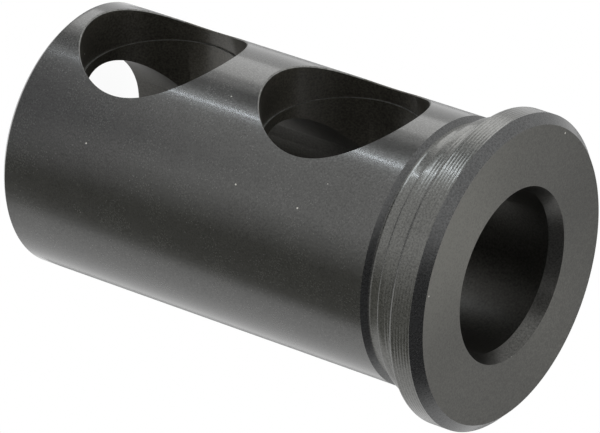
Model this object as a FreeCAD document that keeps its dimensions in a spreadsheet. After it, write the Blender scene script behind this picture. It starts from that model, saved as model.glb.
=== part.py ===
import FreeCAD, Part
import math
import os
import Sketcher

# Flanged tool holder bushing, turned and bored from one bar of steel.
# It stands on its plain rear end: Z runs up the bore, z = 0 is the rear face, the head is on top.
# The cross holes run along Y, through both walls.

# Driving sizes in millimetres and degrees: name, value, meaning
SIZES = [
    ("body_diameter", 31.75, "ground outside that the turret socket holds"),
    ("body_length", 50.8, "rear face to the front edge of the body"),
    ("rear_chamfer", 0.5, "chamfer on the outer edge of the rear face"),
    ("head_length", 9.525, "front edge of the body to the front face"),
    ("rim_rise", 2.675, "rim above the body, on the radius"),
    ("rim_width", 3.9, "front face to the back of the rim"),
    ("rim_chamfer", 1.1, "chamfer round the front face"),
    ("rim_corner", 0.45, "rounding of the rim's back corner"),
    ("collar_rise", 0.7, "collar above the body, on the radius"),
    ("collar_corner", 0.3, "rounding of the collar's back corner"),
    ("undercut_depth", 0.725, "relief groove below the body's surface"),
    ("undercut_width", 2.65, "front edge of the body to the collar's square back"),
    ("undercut_angle", 45.0, "slope of the groove's rear wall from the axis"),
    ("undercut_nose", 0.6, "radius that the tool's nose leaves in both of the groove's corners"),
    ("bore_diameter", 19.05, "bore for the tool shank"),
    ("mouth_rise", 0.85, "lead-in of the bore at the front face, on the radius"),
    ("mouth_depth", 1.55, "lead-in of the bore, along the axis"),
    ("tail_chamfer", 0.5, "chamfer of the bore at the rear face"),
    ("cross_diameter", 18.8, "cross holes where they break into the bore"),
    ("ledge_width", 0.2, "step from the wider entry of a cross hole to the hole, on the radius"),
    ("entry_depth", 5.2, "wider entry, measured down from the body's crown"),
    ("first_hole_setback", 13.3, "front edge of the body to the first cross hole"),
    ("hole_pitch", 25.6, "first cross hole to the second"),
    ("edge_break", 0.15, "chamfer on the cross holes' outer edges"),
]

# Shared expressions, worked out from the sizes above
BODY_R = "Sizes.body_diameter / 2"
BORE_R = "Sizes.bore_diameter / 2"
COLLAR_R = f"({BODY_R} + Sizes.collar_rise)"
RIM_R = f"({BODY_R} + Sizes.rim_rise)"
LENGTH = "(Sizes.body_length + Sizes.head_length)"
RIM_BACK = f"({LENGTH} - Sizes.rim_width)"
COLLAR_BACK = "(Sizes.body_length + Sizes.undercut_width)"
GROOVE_R = f"({BODY_R} - Sizes.undercut_depth)"
GROOVE_ANGLE = "Sizes.undercut_angle * 1deg"
NOSE_R = f"({GROOVE_R} + Sizes.undercut_nose * (1 - cos({GROOVE_ANGLE})))"
NOSE_LOW = f"(Sizes.body_length + ({BODY_R} - {NOSE_R}) / tan({GROOVE_ANGLE}))"
FLOOR_LOW = f"({NOSE_LOW} + Sizes.undercut_nose * sin({GROOVE_ANGLE}))"
FIRST_HOLE = "(Sizes.body_length - Sizes.first_hole_setback)"
SECOND_HOLE = f"({FIRST_HOLE} - Sizes.hole_pitch)"

NODE = "bushing"
TOLERANCE = 0.01
LEAST_BEND = 1.0    # a flat ring about the axis bends less than this, a hole's saddle edge more

doc = FreeCAD.newDocument("tool_holder_bushing")


def make_sheet():
    """The spreadsheet of driving sizes, one row each: name, value, meaning."""
    sheet = doc.addObject("Spreadsheet::Sheet", "Sizes")
    for row, (alias, value, meaning) in enumerate(SIZES, 1):
        sheet.set(f"A{row}", alias)
        sheet.set(f"B{row}", str(value))
        sheet.set(f"C{row}", meaning)
        sheet.setAlias(f"B{row}", alias)
    doc.recompute()
    return sheet


def origin_plane(body, role):
    """The body's own plane with this role, such as XZ_Plane."""
    return next(item for item in body.Origin.OriginFeatures if item.Role == role)


def new_sketch(body, name, role):
    """An empty sketch on one of the body's own planes."""
    sketch = body.newObject("Sketcher::SketchObject", name)
    sketch.AttachmentSupport = [(origin_plane(body, role), "")]
    sketch.MapMode = "FlatFace"
    return sketch


def dimension(sketch, kind, element, position, value, expression):
    """A driving distance from the sketch's origin to a point, bound to an expression."""
    index = sketch.addConstraint(Sketcher.Constraint(kind, -1, 1, element, position, value))
    sketch.setExpression(f"Constraints[{index}]", expression)


def draw_section(sketch, corners, arcs=None):
    """A closed half section; each corner is (radius, height) as expressions, None lying on that axis.

    arcs gives a radius to the side that starts at a corner, for a side that turns anticlockwise.
    A sketch numbers its horizontal axis -1 and its vertical axis -2.
    """
    arcs = arcs or {}
    values = []
    for radius, height in corners:
        x = sketch.evalExpression(radius) if radius else 0.0
        y = sketch.evalExpression(height) if height else 0.0
        values.append(FreeCAD.Vector(float(x), float(y), 0))
    count = len(corners)
    for index in range(count):
        start, end = values[index], values[(index + 1) % count]
        side = Part.LineSegment(start, end)
        if index in arcs:
            side = arc_between(start, end, float(sketch.evalExpression(arcs[index])))
        sketch.addGeometry(side, False)
    for index in range(count):
        following = (index + 1) % count
        sketch.addConstraint(Sketcher.Constraint("Coincident", index, 2, following, 1))
    for index, (radius, height) in enumerate(corners):
        if radius:
            dimension(sketch, "DistanceX", index, 1, values[index].x, radius)
        else:
            sketch.addConstraint(Sketcher.Constraint("PointOnObject", index, 1, -2))
        if height:
            dimension(sketch, "DistanceY", index, 1, values[index].y, height)
        else:
            sketch.addConstraint(Sketcher.Constraint("PointOnObject", index, 1, -1))
    for index, radius in arcs.items():
        value = float(sketch.evalExpression(radius))
        size = sketch.addConstraint(Sketcher.Constraint("Radius", index, value))
        sketch.setExpression(f"Constraints[{size}]", radius)


def arc_between(start, end, radius):
    """The short arc of this radius that turns anticlockwise from start to end."""
    chord = end - start
    left = FreeCAD.Vector(-chord.y, chord.x, 0).normalize()
    centre = (start + end) / 2 + left * math.sqrt(radius ** 2 - (chord.Length / 2) ** 2)
    circle = Part.Circle(centre, FreeCAD.Vector(0, 0, 1), radius)
    angles = [math.atan2(point.y - centre.y, point.x - centre.x) for point in (start, end)]
    return Part.ArcOfCircle(circle, *angles)


def draw_holes(sketch, diameter):
    """The two cross holes as circles on the bore's centre line."""
    radius = float(sketch.evalExpression(diameter)) / 2
    for index, height in enumerate((FIRST_HOLE, SECOND_HOLE)):
        value = float(sketch.evalExpression(height))
        centre = FreeCAD.Vector(0, value, 0)
        sketch.addGeometry(Part.Circle(centre, FreeCAD.Vector(0, 0, 1), radius), False)
        sketch.addConstraint(Sketcher.Constraint("PointOnObject", index, 3, -2))
        dimension(sketch, "DistanceY", index, 3, value, height)
        size = sketch.addConstraint(Sketcher.Constraint("Diameter", index, 2 * radius))
        sketch.setExpression(f"Constraints[{size}]", diameter)


def turned(body, kind, name, sketch):
    """A full turn of a half section about the bore axis: a Revolution adds, a Groove cuts."""
    feature = body.newObject(f"PartDesign::{kind}", name)
    feature.Profile = sketch
    feature.ReferenceAxis = (sketch, ["V_Axis"])
    feature.Angle = 360.0
    finish(feature)
    return feature


def finish(feature):
    """Recompute, and stop if the feature failed."""
    doc.recompute()
    state = feature.State
    if "Invalid" in state or "Error" in state:
        raise RuntimeError(f"{feature.Name} failed: {state}")


def ring_edges(feature, radius, height):
    """Names of the circles about the bore axis with this radius at this height."""
    names = []
    for number, edge in enumerate(feature.Shape.Edges, 1):
        curve = edge.Curve
        if not isinstance(curve, Part.Circle):
            continue
        same_size = abs(curve.Radius - radius) < TOLERANCE
        same_place = abs(curve.Center.z - height) < TOLERANCE
        on_axis = math.hypot(curve.Center.x, curve.Center.y) < TOLERANCE
        if same_size and same_place and on_axis:
            names.append(f"Edge{number}")
    return names


def saddle_edges(feature, radius):
    """Names of the edges where a cross hole leaves the cylinder of this radius about the bore axis."""
    names = []
    for number, edge in enumerate(feature.Shape.Edges, 1):
        points = edge.discretize(9)
        heights = [point.z for point in points]
        on_cylinder = all(abs(math.hypot(point.x, point.y) - radius) < TOLERANCE for point in points)
        bends = max(heights) - min(heights) > LEAST_BEND
        straight = isinstance(edge.Curve, Part.Line)
        if on_cylinder and bends and not straight:
            names.append(f"Edge{number}")
    return names


def dress(body, kind, name, base, edges, size, expression):
    """A Chamfer or Fillet of one size on named edges of the feature before it."""
    if not edges:
        raise RuntimeError(f"{name} found no edge to work on")
    feature = body.newObject(f"PartDesign::{kind}", name)
    feature.Base = (base, edges)
    feature.setExpression(size, expression)
    finish(feature)
    return feature


def turn_outside(body):
    """The stepped blank: plain body, collar and rim."""
    section = new_sketch(body, "OutsideSection", "XZ_Plane")
    draw_section(section, [
        (None, None),
        (BODY_R, None),
        (BODY_R, "Sizes.body_length"),
        (COLLAR_R, "Sizes.body_length"),
        (COLLAR_R, RIM_BACK),
        (RIM_R, RIM_BACK),
        (RIM_R, LENGTH),
        (None, LENGTH),
    ])
    return turned(body, "Revolution", "Outside", section)


def cut_undercut(body):
    """The relief groove: a sloping rear wall, a plain floor and the collar's square back."""
    clear_of_collar = f"({COLLAR_R} + Sizes.collar_rise)"
    section = new_sketch(body, "UndercutSection", "XZ_Plane")
    draw_section(section, [
        (clear_of_collar, COLLAR_BACK),
        (f"({GROOVE_R} + Sizes.undercut_nose)", COLLAR_BACK),
        (GROOVE_R, f"({COLLAR_BACK} - Sizes.undercut_nose)"),
        (GROOVE_R, FLOOR_LOW),
        (NOSE_R, NOSE_LOW),
        (BODY_R, "Sizes.body_length"),
        (clear_of_collar, "Sizes.body_length"),
    ], arcs={1: "Sizes.undercut_nose", 3: "Sizes.undercut_nose"})
    return turned(body, "Groove", "Undercut", section)


def bore_out(body):
    """The bore, flared at the front face and chamfered at the rear."""
    section = new_sketch(body, "BoreSection", "XZ_Plane")
    draw_section(section, [
        (None, None),
        (f"({BORE_R} + Sizes.tail_chamfer)", None),
        (BORE_R, "Sizes.tail_chamfer"),
        (BORE_R, f"({LENGTH} - Sizes.mouth_depth)"),
        (f"({BORE_R} + Sizes.mouth_rise)", LENGTH),
        (None, LENGTH),
    ])
    return turned(body, "Groove", "Bore", section)


def cross_drill(body):
    """Both cross holes, straight through both walls."""
    sketch = new_sketch(body, "CrossHoles", "XZ_Plane")
    draw_holes(sketch, "Sizes.cross_diameter")
    pocket = body.newObject("PartDesign::Pocket", "CrossDrilling")
    pocket.Profile = sketch
    pocket.Type = "ThroughAll"
    pocket.SideType = "Symmetric"
    finish(pocket)
    return pocket


def open_entries(body):
    """The wider entry of each cross hole, down to a narrow ledge in the wall, on both sides."""
    sketch = new_sketch(body, "EntryHoles", "XZ_Plane")
    sketch.setExpression("AttachmentOffset.Base.z", f"{BODY_R} - Sizes.entry_depth")
    doc.recompute()
    draw_holes(sketch, "(Sizes.cross_diameter + 2 * Sizes.ledge_width)")
    pocket = body.newObject("PartDesign::Pocket", "Entry")
    pocket.Profile = sketch
    pocket.Type = "ThroughAll"
    pocket.Reversed = True
    finish(pocket)
    mirrored = body.newObject("PartDesign::Mirrored", "FarEntry")
    mirrored.Originals = [pocket]
    mirrored.MirrorPlane = (origin_plane(body, "XZ_Plane"), [""])
    body.Tip = mirrored
    finish(mirrored)
    return mirrored


def break_edges(body, base, sheet):
    """Chamfers and roundings, each on the edges that its sizes place."""
    body_radius = sheet.body_diameter / 2
    collar_radius = body_radius + sheet.collar_rise
    rim_radius = body_radius + sheet.rim_rise
    length = sheet.body_length + sheet.head_length
    rim_back = length - sheet.rim_width
    collar_back = float(sheet.evalExpression(COLLAR_BACK))

    step = dress(body, "Chamfer", "RimChamfer", base,
                 ring_edges(base, rim_radius, length), "Size", "Sizes.rim_chamfer")
    step = dress(body, "Chamfer", "RearChamfer", step,
                 ring_edges(step, body_radius, 0.0), "Size", "Sizes.rear_chamfer")
    step = dress(body, "Fillet", "RimCorner", step,
                 ring_edges(step, rim_radius, rim_back), "Radius", "Sizes.rim_corner")
    step = dress(body, "Fillet", "CollarCorner", step,
                 ring_edges(step, collar_radius, collar_back), "Radius", "Sizes.collar_corner")
    return dress(body, "Chamfer", "HoleEdges", step,
                 saddle_edges(step, body_radius), "Size", "Sizes.edge_break")


def check_cut(before, after, name):
    """A cut that points away from the steel removes nothing and shows no error."""
    if after.Shape.Volume > before.Shape.Volume - TOLERANCE:
        raise RuntimeError(f"{name} cut nothing")


def build_bushing(sheet):
    """The bushing, in the order that a lathe and a mill make it."""
    body = doc.addObject("PartDesign::Body", "Bushing")
    body.Label = NODE
    outside = turn_outside(body)
    undercut = cut_undercut(body)
    check_cut(outside, undercut, "undercut")
    bore = bore_out(body)
    check_cut(undercut, bore, "bore")
    drilled = cross_drill(body)
    check_cut(bore, drilled, "cross holes")
    opened = open_entries(body)
    check_cut(drilled, opened, "entries")
    break_edges(body, opened, sheet)
    return body


sizes = make_sheet()
bushing = build_bushing(sizes)
doc.recompute()

for item in doc.Objects:
    if "Invalid" in item.State or "Error" in item.State:
        raise RuntimeError(f"{item.Name} is not built: {item.State}")
shape = bushing.Shape
if shape.isNull() or not shape.isValid() or len(shape.Solids) != 1:
    raise RuntimeError("the bushing is not one valid solid")

os.makedirs("parts", exist_ok=True)
shape.exportStep(f"parts/{bushing.Label}.step")
print(f"{bushing.Label}: volume {shape.Volume:.1f} mm3, box {shape.BoundBox}")
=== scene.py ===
import math

import bpy
from mathutils import Matrix, Vector


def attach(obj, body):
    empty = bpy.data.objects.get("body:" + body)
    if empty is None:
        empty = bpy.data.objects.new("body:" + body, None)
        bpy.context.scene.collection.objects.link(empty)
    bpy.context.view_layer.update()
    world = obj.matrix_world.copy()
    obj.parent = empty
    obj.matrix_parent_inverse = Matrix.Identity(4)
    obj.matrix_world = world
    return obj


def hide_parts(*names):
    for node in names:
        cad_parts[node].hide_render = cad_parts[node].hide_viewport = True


# Looks of the flanged tool holder bushing: black oxide steel, ground outside, turned head.
# The piece is modelled in millimetres and brought to metres when it is finished. Lamps, cards,
# floor and camera are in metres.

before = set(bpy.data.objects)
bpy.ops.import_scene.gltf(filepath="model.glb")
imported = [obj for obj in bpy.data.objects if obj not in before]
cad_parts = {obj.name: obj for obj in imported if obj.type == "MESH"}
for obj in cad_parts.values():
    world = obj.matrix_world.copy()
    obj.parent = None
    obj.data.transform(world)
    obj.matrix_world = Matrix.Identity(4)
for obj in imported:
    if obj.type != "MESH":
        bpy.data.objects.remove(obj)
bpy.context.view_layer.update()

MM = 0.001
ROUND = 384          # facets once round the bore axis
HOLE_ROUND = 192     # facets once round a cross hole

# Sizes of the bushing, as in its source
BODY_R = 15.875
BODY_END = 50.8
REAR_CHAMFER = 0.5
FACE = 60.325
RIM_R = 18.55
RIM_BACK = 56.425
RIM_CHAMFER = 1.1
RIM_CORNER = 0.45
COLLAR_R = 16.575
COLLAR_BACK = 53.45
COLLAR_CORNER = 0.3
GROOVE_R = 15.15
GROOVE_NOSE = 0.6
BORE_R = 9.525
MOUTH_R = 10.375
MOUTH_DEPTH = 1.55
TAIL_CHAMFER = 0.5
HOLE_HEIGHTS = (37.5, 11.9)
HOLE_R = 9.4
ENTRY_R = 9.6
LEDGE_Y = 10.675
EDGE_BREAK = 0.15

# The lathe's feed marks on the head, from one height to another
MARKS_ON_COLLAR = (54.3, 56.2)
MARKS_ON_RIM = (56.95, 59.23)
MARK_PITCH = 0.38
MARK_DEPTH = 0.018
MARK_CUTS = 8        # section points along one mark
TOUCH = 0.01         # faces this near to a height lie on it

# Tools that cut the cross holes
TOOL_REACH = 30      # from the bore axis to the end of a tool, outside the body
CORE_ENDS = (-20, 80)    # heights of the core that shapes an entry's tool
PIN_R = 0.001        # a turned core keeps a hole this fine on its axis
PLUG_TAIL = 8        # what an entry's tool adds outside the broken edge


# Shaping

def select_only(obj):
    """obj alone selected and active, in object mode."""
    bpy.ops.object.select_all(action="DESELECT")
    obj.select_set(True)
    bpy.context.view_layer.objects.active = obj


def edit(obj):
    """Edit mode on obj, with all of it selected."""
    select_only(obj)
    bpy.ops.object.mode_set(mode="EDIT")
    bpy.ops.mesh.select_all(action="SELECT")


def leave_edit():
    """Back to object mode."""
    bpy.ops.object.mode_set(mode="OBJECT")


def close_up():
    """In edit mode: double points merged and every face turned outwards."""
    bpy.ops.mesh.select_all(action="SELECT")
    bpy.ops.mesh.remove_doubles(threshold=0.0005)
    bpy.ops.mesh.normals_make_consistent(inside=False)


def turn(name, section, steps):
    """A closed half section of (radius, height) corners, turned once round Z."""
    bpy.ops.object.select_all(action="DESELECT")
    bpy.ops.mesh.primitive_plane_add(size=1)
    piece = bpy.context.object
    piece.name = name
    bpy.ops.object.mode_set(mode="EDIT")
    bpy.ops.mesh.select_mode(type="VERT")
    bpy.ops.mesh.merge(type="CENTER")
    bpy.ops.transform.translate(value=(section[0][0], 0, section[0][1]))
    for before, after in zip(section, section[1:] + section[:1]):
        step = (after[0] - before[0], 0, after[1] - before[1])
        bpy.ops.mesh.extrude_region_move(TRANSFORM_OT_translate={"value": step})
    bpy.ops.mesh.select_all(action="SELECT")
    bpy.ops.mesh.remove_doubles(threshold=0.0005)
    bpy.ops.mesh.spin(steps=steps, angle=2 * math.pi, center=(0, 0, 0), axis=(0, 0, 1))
    close_up()
    leave_edit()
    return piece


def arc(radius, centre, start, end, count):
    """Corners along an arc in the section; centre is (radius, height), angles in degrees."""
    corners = []
    for index in range(count + 1):
        angle = math.radians(start + (end - start) * index / count)
        corners.append((centre[0] + radius * math.cos(angle), centre[1] + radius * math.sin(angle)))
    return corners


def feed_marks(radius, stretch):
    """Corners along a turned land whose hollows the tool left, one per turn of the work."""
    start, end = stretch
    corners = []
    for mark in range(round((end - start) / MARK_PITCH)):
        for cut in range(MARK_CUTS):
            share = cut / MARK_CUTS
            hollow = MARK_DEPTH * (1 - (2 * share - 1) ** 2)
            corners.append((radius - hollow, start + (mark + share) * MARK_PITCH))
    return corners + [(radius, end)]


def bushing_section():
    """The half section of the whole bushing, from the rear face round to the bore."""
    nose = GROOVE_R + GROOVE_NOSE
    slope_end = BODY_END + BODY_R - nose + GROOVE_NOSE * math.sqrt(0.5)
    rear_centre = (nose, slope_end + GROOVE_NOSE * math.sqrt(0.5))
    front_centre = (nose, COLLAR_BACK - GROOVE_NOSE)
    collar_centre = (COLLAR_R - COLLAR_CORNER, COLLAR_BACK + COLLAR_CORNER)
    rim_centre = (RIM_R - RIM_CORNER, RIM_BACK + RIM_CORNER)
    rim_front = FACE - RIM_CHAMFER
    corners = [(BORE_R + TAIL_CHAMFER, 0), (BODY_R - REAR_CHAMFER, 0), (BODY_R, REAR_CHAMFER)]
    corners += [(BODY_R, BODY_END)]
    corners += arc(GROOVE_NOSE, rear_centre, 225, 180, 8)
    corners += arc(GROOVE_NOSE, front_centre, 180, 90, 8)
    corners += arc(COLLAR_CORNER, collar_centre, -90, 0, 8)
    corners += feed_marks(COLLAR_R, MARKS_ON_COLLAR)
    corners += [(COLLAR_R, RIM_BACK)]
    corners += arc(RIM_CORNER, rim_centre, -90, 0, 10)
    corners += feed_marks(RIM_R, MARKS_ON_RIM)
    corners += [(RIM_R, rim_front)]
    corners += [(RIM_R - RIM_CHAMFER, FACE), (MOUTH_R, FACE), (BORE_R, FACE - MOUTH_DEPTH)]
    corners += [(BORE_R, TAIL_CHAMFER)]
    return corners


def cylinder(name, radius, low, high, height, facets):
    """A plain cylinder along Y from y = low to y = high, its axis at this height."""
    bpy.ops.object.select_all(action="DESELECT")
    bpy.ops.mesh.primitive_cylinder_add(
        vertices=facets, radius=radius, depth=high - low,
        location=(0, (low + high) / 2, height), rotation=(math.pi / 2, 0, 0))
    bpy.ops.object.transform_apply(location=True, rotation=True, scale=True)
    piece = bpy.context.object
    piece.name = name
    return piece


def combine(piece, tool, operation):
    """One boolean of piece with tool, after which tool is gone.

    Both are closed, and only the manifold solver gives the same result every time on these shapes.
    """
    select_only(piece)
    cut = piece.modifiers.new("cut", "BOOLEAN")
    cut.operation = operation
    cut.solver = "MANIFOLD"
    cut.object = tool
    bpy.ops.object.modifier_apply(modifier="cut")
    bpy.data.objects.remove(tool)


def entry_plug(height):
    """The tool for one entry: a cylinder that flares where it leaves the body's surface."""
    plug = cylinder("entry_plug", ENTRY_R, -TOOL_REACH, -LEDGE_Y, height, HOLE_ROUND)
    inner = BODY_R - EDGE_BREAK
    low, high = CORE_ENDS
    core = turn("core", [(PIN_R, low), (inner, low), (inner, high), (PIN_R, high)], ROUND)
    combine(plug, core, "INTERSECT")
    edit(plug)
    bpy.ops.mesh.select_mode(type="FACE")
    bpy.ops.mesh.select_all(action="DESELECT")
    leave_edit()
    for face in plug.data.polygons:
        face.select = face.normal.y < -0.5 and face.center.y < -LEDGE_Y - 0.5
    bpy.ops.object.mode_set(mode="EDIT")
    grow = (ENTRY_R + 2 * EDGE_BREAK) / ENTRY_R
    bpy.ops.mesh.extrude_region_move(TRANSFORM_OT_translate={"value": (0, -2 * EDGE_BREAK, 0)})
    bpy.ops.transform.resize(value=(grow, 1, grow), center_override=(0, 0, height))
    bpy.ops.mesh.extrude_region_move(TRANSFORM_OT_translate={"value": (0, -PLUG_TAIL, 0)})
    close_up()
    leave_edit()
    return plug


def drill(piece, height):
    """One cross hole through both walls, with its wider entries and their broken edges."""
    combine(piece, cylinder("drill", HOLE_R, -TOOL_REACH, TOOL_REACH, height, HOLE_ROUND), "DIFFERENCE")
    near = entry_plug(height)
    far = near.copy()
    far.data = near.data.copy()
    bpy.context.collection.objects.link(far)
    edit(far)
    bpy.ops.transform.resize(value=(1, -1, 1), center_override=(0, 0, 0))
    close_up()
    leave_edit()
    combine(piece, near, "DIFFERENCE")
    combine(piece, far, "DIFFERENCE")


def to_metres(piece):
    """The finished piece at its real size, its object at the origin."""
    edit(piece)
    bpy.ops.transform.resize(value=(MM, MM, MM), center_override=(0, 0, 0))
    leave_edit()


def build_bushing():
    """The bushing with feed marks on its head, cross drilled."""
    piece = turn("dressed_bushing", bushing_section(), ROUND)
    for height in HOLE_HEIGHTS:
        drill(piece, height)
    edit(piece)
    close_up()
    leave_edit()
    return piece


# Materials

class Value:
    """A socket that takes part in Python expressions by adding Math nodes."""

    def __init__(self, shader, socket):
        self.shader = shader
        self.socket = socket

    def _with(self, operation, *inputs):
        node = self.shader.node("ShaderNodeMath", {"operation": operation}, dict(enumerate(inputs)))
        return Value(self.shader, node.outputs[0])

    def __add__(self, other):
        return self._with("ADD", self, other)

    def __mul__(self, other):
        return self._with("MULTIPLY", self, other)

    def __sub__(self, other):
        return self._with("SUBTRACT", self, other)

    def __rsub__(self, other):
        return self._with("SUBTRACT", other, self)

    def size(self):
        return self._with("ABSOLUTE", self)

    def below(self, level):
        return self._with("LESS_THAN", self, level)

    def limited(self):
        return self._with("MINIMUM", self._with("MAXIMUM", self, 0.0), 1.0)

    __radd__ = __add__
    __rmul__ = __mul__


class Shader:
    """The node tree of one material, with one Principled BSDF."""

    def __init__(self, name, **settings):
        self.material = bpy.data.materials.new(name)
        self.material.use_nodes = True
        self.tree = self.material.node_tree
        self.surface = self.tree.nodes["Principled BSDF"]
        self.output = self.tree.nodes["Material Output"]
        for socket, value in settings.items():
            self.surface.inputs[socket.replace("_", " ")].default_value = value

    def node(self, kind, settings=None, inputs=None):
        """Any node: its type, its settings, then the values or links of its sockets."""
        made = self.tree.nodes.new(kind)
        for name, value in (settings or {}).items():
            setattr(made, name, value)
        for name, value in (inputs or {}).items():
            self.feed(made.inputs[name], value)
        return made

    def feed(self, socket, value):
        """A link where value is a socket, and a plain setting otherwise."""
        if isinstance(value, Value):
            value = value.socket
        if isinstance(value, bpy.types.NodeSocket):
            self.tree.links.new(value, socket)
        else:
            socket.default_value = value

    def drive(self, **inputs):
        """Links into the Principled BSDF."""
        for name, value in inputs.items():
            self.feed(self.surface.inputs[name.replace("_", " ")], value)

    def place(self, stretch=(1, 1, 1)):
        """The point on the object, stretched for a pattern."""
        where = self.node("ShaderNodeTexCoord").outputs["Object"]
        scaled = {"Vector": where, "Scale": stretch}
        return self.node("ShaderNodeMapping", {}, scaled).outputs["Vector"]

    def noise(self, size, stretch=(1, 1, 1), detail=2.0):
        """Noise from 0 to 1 whose grain is about this many millimetres."""
        inputs = {"Vector": self.place(stretch), "Scale": 1 / (size * MM), "Detail": detail}
        return Value(self, self.node("ShaderNodeTexNoise", {}, inputs).outputs["Fac"])

    def specks(self, spacing, size, share):
        """1 on a few round specks, 0 elsewhere: this share of the cells holds one."""
        inputs = {"Vector": self.place(), "Scale": 1 / (spacing * MM)}
        cells = self.node("ShaderNodeTexVoronoi", {}, inputs).outputs
        draw = self.node("ShaderNodeSeparateColor", {}, {"Color": cells["Color"]}).outputs[0]
        near = Value(self, cells["Distance"]).below(size / spacing)
        return near * Value(self, draw).below(share)

    def blend(self, factor, first, second):
        """One colour or the other, by factor."""
        mix = self.node("ShaderNodeMix", {"data_type": "RGBA"})
        self.feed(mix.inputs[0], factor)
        self.feed(mix.inputs[6], first)
        self.feed(mix.inputs[7], second)
        return mix.outputs[2]

    def reach(self, direction):
        """How many millimetres the point lies out from the bore axis in this direction."""
        inputs = {0: self.place((1 / MM, 1 / MM, 1 / MM)), 1: direction}
        node = self.node("ShaderNodeVectorMath", {"operation": "DOT_PRODUCT"}, inputs)
        return Value(self, node.outputs["Value"])

    def bump(self, height):
        """A normal from a height in millimetres."""
        return self.node("ShaderNodeBump", {}, {"Height": height, "Distance": MM}).outputs["Normal"]


# Each finish: tone of the oxide, its roughness, share of the oil film, roughness of the film,
# size and depth of the grain in millimetres. The faced front adds its pull and its painted sheen.
FINISHES = {
    "ground_body": ((0.074, 0.074, 0.071), 0.25, 0.8, 0.14, 0.2, 0.0024),
    "turned_head": ((0.110, 0.110, 0.103), 0.28, 0.7, 0.12, 0.2, 0.0022),
    "turned_slopes": ((0.082, 0.083, 0.083), 0.28, 0.6, 0.16, 0.2, 0.0018),
    "flared_mouth": ((0.062, 0.061, 0.056), 0.34, 0.5, 0.2, 0.2, 0.0018),
    "faced_front": ((0.065, 0.064, 0.057), 0.5, 0.4, 0.3, 0.2, 0.0022, 0.8, 0.021),
    "bored_inside": ((0.060, 0.058, 0.052), 0.5, 0.3, 0.35, 0.25, 0.0015),
    "milled_holes": ((0.082, 0.077, 0.064), 0.5, 0.8, 0.22, 0.25, 0.002),
    # Paler oxide on the broken edges and ledges: partly worn oxide, partly a painted highlight along
    # them.
    "worn_and_highlit_edges": ((0.20, 0.20, 0.19), 0.45, 0.3, 0.3, 0.3, 0.002),
}
DUST = (0.55, 0.54, 0.50, 1)
PAINTED_SHEEN_SIDE = (0.82, -0.57, 0)    # the way towards which a faced flat is painted paler, a painted sheen where the light falls
CLOUD = 6.0          # size of the clouds in the oxide, in millimetres
TONE_SWING = 0.45    # how far the oxide's tone goes to either side, as a share of it


def black_steel(name, tone, rough, oil, oil_rough, grain, grain_depth, pull=0.0, painted_sheen=0.0):
    """Black oxide on steel: a dull cloudy oxide with fine grain and a little dust, under oil.

    pull draws the light out as turning marks too fine to model do, and the last argument is how
    much paler each millimetre towards the lit side is painted, a painted sheen for the light there.
    """
    made = Shader(name, Metallic=1.0, Coat_Roughness=oil_rough, Coat_IOR=1.5,
                  Specular_Tint=(0.65, 0.65, 0.65, 1), Anisotropic=pull, Anisotropic_Rotation=0.25)
    clouds = made.noise(CLOUD, detail=3.0)
    fine = made.noise(grain)
    dark = [channel * (1 - TONE_SWING) for channel in tone]
    light = [channel * (1 + TONE_SWING) for channel in tone]
    shade = 0.5 + (clouds - 0.5) * 0.3 + (fine - 0.5) * 1.9
    # Painted sheen: the tone is painted paler towards one side, where the light falls on the faced
    # front.
    if painted_sheen:
        shade = shade + made.reach(PAINTED_SHEEN_SIDE) * painted_sheen
    oxide = made.blend(shade.limited(), (*dark, 1), (*light, 1))
    dust = made.specks(2.6, 0.11, 0.35)
    made.drive(
        Base_Color=made.blend(dust, oxide, DUST),
        Roughness=(rough + (clouds - 0.5) * 0.1 + (fine - 0.5) * 0.12).limited(),
        Coat_Weight=(oil - dust * oil).limited(),
        Normal=made.bump(fine * grain_depth),
    )
    return made.material


def dress_in_steel(piece):
    """Each surface gets the finish of the tool that made it."""
    piece.data.materials.clear()
    for name, settings in FINISHES.items():
        piece.data.materials.append(black_steel(name, *settings))
    order = list(FINISHES)
    for face in piece.data.polygons:
        face.material_index = order.index(finish_at(face.center, face.normal))


def finish_at(centre, normal):
    """Which finish a face has, by its place in millimetres and the way it looks."""
    out = Vector((centre.x, centre.y, 0))
    radius = out.length
    level = abs(normal.z)
    flat = level > 0.95
    if flat and centre.z > FACE - TOUCH:
        return "faced_front"
    if centre.z > FACE - MOUTH_DEPTH and radius < MOUTH_R:
        return "flared_mouth"
    if centre.z > BODY_END - TOUCH and radius > BODY_R - 1:
        sloping = 0.6 < level < 0.8
        return "turned_slopes" if sloping else "turned_head"
    facing = normal.dot(out.normalized()) if radius else 0
    if radius < BORE_R + TAIL_CHAMFER + 0.4 and facing < -0.5:
        return "bored_inside"
    broken_edge = radius > BODY_R - 0.4 and 0.25 < facing < 0.9
    ledge = abs(normal.y) > 0.99 and abs(abs(centre.y) - LEDGE_Y) < TOUCH
    # Broken edges and ledges get the paler oxide, partly wear and partly a painted highlight.
    if REAR_CHAMFER < centre.z < BODY_END and (broken_edge or ledge):
        return "worn_and_highlit_edges"
    outside = radius > BODY_R - 0.6 and (facing > 0.9 or level > 0.5)
    rear_face = flat and centre.z < 0.1
    return "ground_body" if outside or rear_face else "milled_holes"


bushing = build_bushing()
dress_in_steel(bushing)
to_metres(bushing)
select_only(bushing)
bpy.ops.object.shade_smooth_by_angle(angle=math.radians(28))
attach(bushing, "root")
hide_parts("bushing")


# Studio

MIDDLE = (0, 0, 0.03)
FLOOR_R = 0.0167
FLOOR_Z = -0.0002    # just under the rear face, so that the two don't mix
COOL = (0.86, 0.93, 1.0)

# The camera, from the fit of the turned circles in the photograph
CAMERA_PLACE = (0.414763, -0.284687, 0.339933)
CAMERA_BACK = (0.70161, -0.48438, 0.52261)
CAMERA_RIGHT = (-0.58985, 0.01666, 0.80734)
CAMERA_LENS = 310.02


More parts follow.
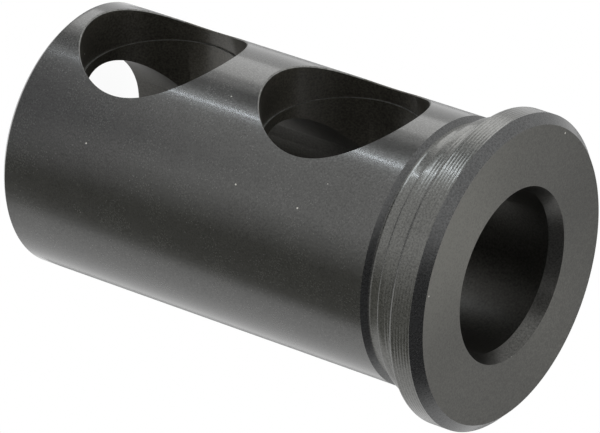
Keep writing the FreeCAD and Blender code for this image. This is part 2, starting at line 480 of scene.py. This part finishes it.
def card(name, centre, aim, width, height, material):
    """A flat card of this width and height at centre that faces aim; the camera doesn't see it."""
    bpy.ops.object.select_all(action="DESELECT")
    bpy.ops.mesh.primitive_plane_add(size=1)
    made = bpy.context.object
    made.name = name
    turned = (Vector(aim) - Vector(centre)).to_track_quat("Z", "Y").to_matrix().to_4x4()
    scaled = Matrix.Diagonal((width, height, 1, 1))
    made.data.transform(Matrix.Translation(Vector(centre)) @ turned @ scaled)
    made.data.materials.append(material)
    made.visible_camera = False
    return made


def lamp(name, centre, width, height, watts, colour=(1, 1, 1), shape="RECTANGLE"):
    """A soft lamp at centre that faces the bushing."""
    data = bpy.data.lights.new(name, "AREA")
    data.shape = shape
    data.size = width
    data.size_y = height
    data.energy = watts
    data.color = colour
    made = bpy.data.objects.new(name, data)
    made.visible_camera = False
    bpy.context.collection.objects.link(made)
    turned = (Vector(MIDDLE) - Vector(centre)).to_track_quat("-Z", "Y").to_matrix().to_4x4()
    made.matrix_world = Matrix.Translation(Vector(centre)) @ turned
    return made


def soft_cloth(name, shade, softness):
    """Cloth whose edges thin out; the lower the softness, the wider they do."""
    made = Shader(name, Base_Color=(*shade, 1), Roughness=1.0)
    across = made.node("ShaderNodeTexCoord").outputs["UV"]
    sides = made.node("ShaderNodeSeparateXYZ", {}, {"Vector": across}).outputs
    cover = 1.0
    for side in sides[:2]:
        inset = 0.5 - (Value(made, side) - 0.5).size()
        cover = (inset * softness).limited() * cover
    clear = made.node("ShaderNodeBsdfTransparent").outputs[0]
    mix = made.node("ShaderNodeMixShader", {}, {0: cover, 1: clear, 2: made.surface.outputs[0]})
    made.feed(made.output.inputs["Surface"], mix.outputs[0])
    return made.material


def white_paper():
    """Paper that the camera and the steel see as white, with the bushing's shadow near its middle.

    From below it is clear, so that the rear face shows.
    """
    made = Shader("paper", Base_Color=(0.8, 0.8, 0.8, 1), Roughness=0.9)
    rays = made.node("ShaderNodeLightPath").outputs
    seen = Value(made, rays["Is Camera Ray"]) + Value(made, rays["Is Glossy Ray"])
    seen = seen + Value(made, rays["Is Transmission Ray"])
    length = made.node("ShaderNodeVectorMath", {"operation": "LENGTH"}, {0: made.place()})
    from_middle = Value(made, length.outputs["Value"])
    whiteness = (seen * (0.92 + from_middle * 5.0)).limited()
    white = made.node("ShaderNodeEmission", {}, {"Color": (1, 1, 1, 1), "Strength": 1.0}).outputs[0]
    lit = made.node("ShaderNodeMixShader", {}, {0: whiteness, 1: made.surface.outputs[0], 2: white})
    below = made.node("ShaderNodeNewGeometry").outputs["Backfacing"]
    clear = made.node("ShaderNodeBsdfTransparent").outputs[0]
    one_sided = made.node("ShaderNodeMixShader", {}, {0: below, 1: lit.outputs[0], 2: clear})
    made.feed(made.output.inputs["Surface"], one_sided.outputs[0])
    return made.material


def plain_floor():
    """A small round of white paper under the bushing."""
    bpy.ops.object.select_all(action="DESELECT")
    bpy.ops.mesh.primitive_circle_add(vertices=96, radius=FLOOR_R, fill_type="NGON")
    floor = bpy.context.object
    floor.name = "floor"
    floor.data.transform(Matrix.Translation((0, 0, FLOOR_Z)))
    floor.data.materials.append(white_paper())


def white_room():
    """The white world round the studio."""
    world = bpy.data.worlds.new("white_room")
    bpy.context.scene.world = world
    world.use_nodes = True
    world.node_tree.nodes["Background"].inputs["Color"].default_value = (1, 1, 1, 1)
    world.node_tree.nodes["Background"].inputs["Strength"].default_value = 1.0


def light_the_studio():
    """Four soft lamps, and the cards that darken what the steel reflects of the white room."""
    brown = soft_cloth("brown_cloth", (0.24, 0.24, 0.215), 3.3)
    card("low_flag", (0.6, 0.34, -0.34), (-1, 0.34, -0.34), 1.3, 0.72, brown)
    dark = soft_cloth("dark_cloth", (0.15, 0.15, 0.153), 3.3)
    card("high_flag", (0.53, 0.40, 0.79), MIDDLE, 2.7, 1.9, dark)
    card("camera_flag", (0.9, 0.13, 0.42), MIDDLE, 3.1, 0.8, dark)
    card("side_flag", (0.50, -0.74, 0.45), MIDDLE, 0.85, 0.75, dark)
    grey = soft_cloth("grey_cloth", (0.5, 0.5, 0.5), 6.0)
    card("dip_flag", (-0.18, -0.6, -0.36), MIDDLE, 0.2, 0.9, grey)
    card("back_flag", (-0.53, 0.36, -0.36), MIDDLE, 0.6, 0.7, grey)
    pale = soft_cloth("pale_cloth", (0.64, 0.64, 0.66), 3.3)
    card("under_flag", (0.045, -0.048, -0.045), (0.045, -0.048, 1), 0.13, 0.13, pale)
    lamp("strip", (-0.006, -0.6, -0.27), 0.012, 0.2, 0.15, COOL)
    lamp("round_box", (-0.006, -0.6, 0.0), 0.36, 0.36, 1.05, COOL, "DISK")
    lamp("soft_box", (-0.455, -0.385, -0.336), 0.31, 0.35, 0.40)
    lamp("top_box", (-0.36, 0.25, 0.80), 0.4, 0.4, 1.6)


def place_camera():
    """The photograph's camera: the bore axis runs down to the right, towards the viewer."""
    data = bpy.data.cameras.new("camera")
    data.sensor_width = 36
    data.lens = CAMERA_LENS
    data.clip_start = 0.01
    data.clip_end = 20
    camera = bpy.data.objects.new("camera", data)
    bpy.context.collection.objects.link(camera)
    right = Vector(CAMERA_RIGHT).normalized()
    back = Vector(CAMERA_BACK).normalized()
    turned = Matrix((right, back.cross(right), back)).transposed().to_4x4()
    camera.matrix_world = Matrix.Translation(CAMERA_PLACE) @ turned
    bpy.context.scene.camera = camera


plain_floor()
white_room()
light_the_studio()
place_camera()
bpy.context.scene.view_settings.view_transform = "Standard"
